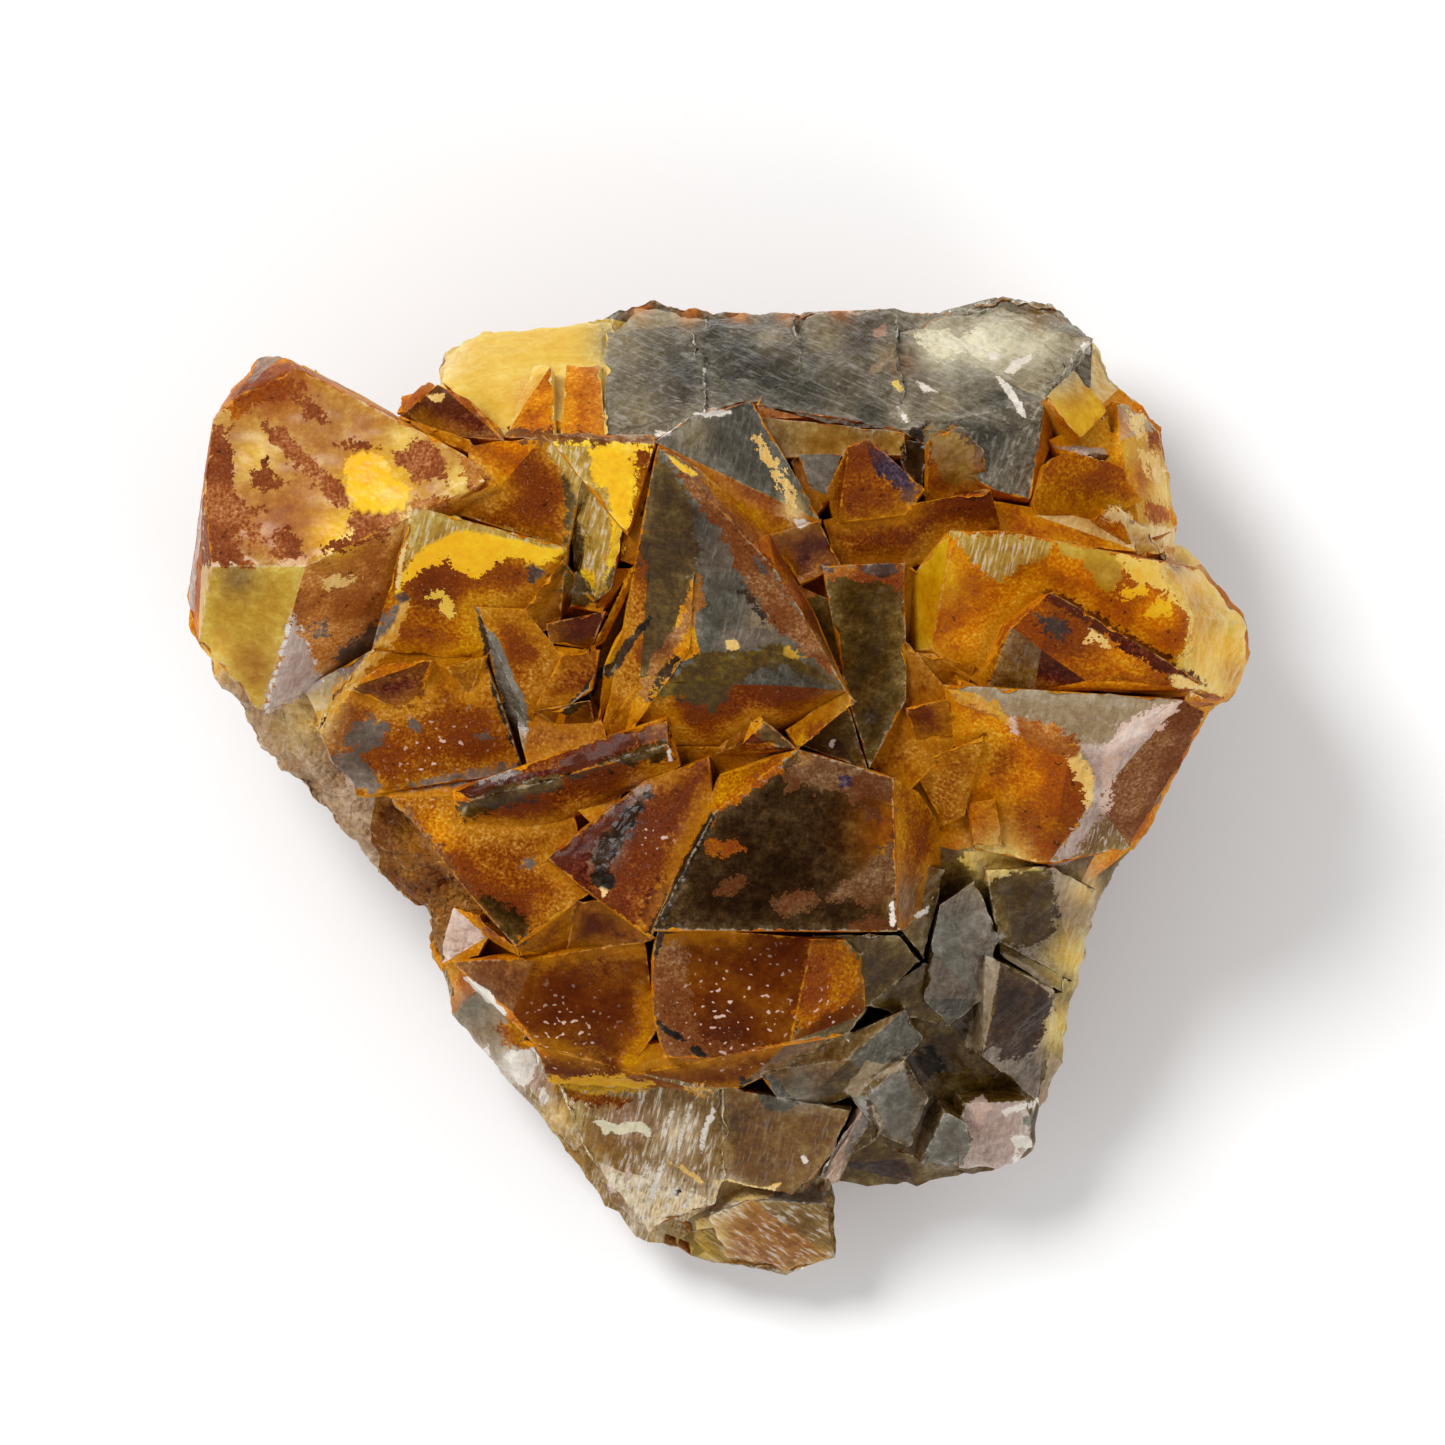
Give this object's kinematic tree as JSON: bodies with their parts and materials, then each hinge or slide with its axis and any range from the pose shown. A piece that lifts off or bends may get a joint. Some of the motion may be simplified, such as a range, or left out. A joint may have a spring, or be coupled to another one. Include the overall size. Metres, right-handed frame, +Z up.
{
  "type": "fluorite crystal cluster",
  "caption": "Hand-size mineral specimen: intergrown fluorite cubes, some broken, grown together on a mass of broken fluorite, lying on its flat broken back.",
  "frame": {"origin": "middle of the plan extent, on the surface that the specimen rests on", "axes": "+Z up out of the crystal faces, +X and +Y to the right and to the back as seen from above"},
  "size_m": [0.0562, 0.052, 0.0305],
  "materials": {
    "fluorite_cluster": "satin orange-brown coat with glassy broken patches"
  },
  "bodies": {
    "root": {"fluorite_cluster": "fluorite_cluster"}
  },
  "joints": []
}
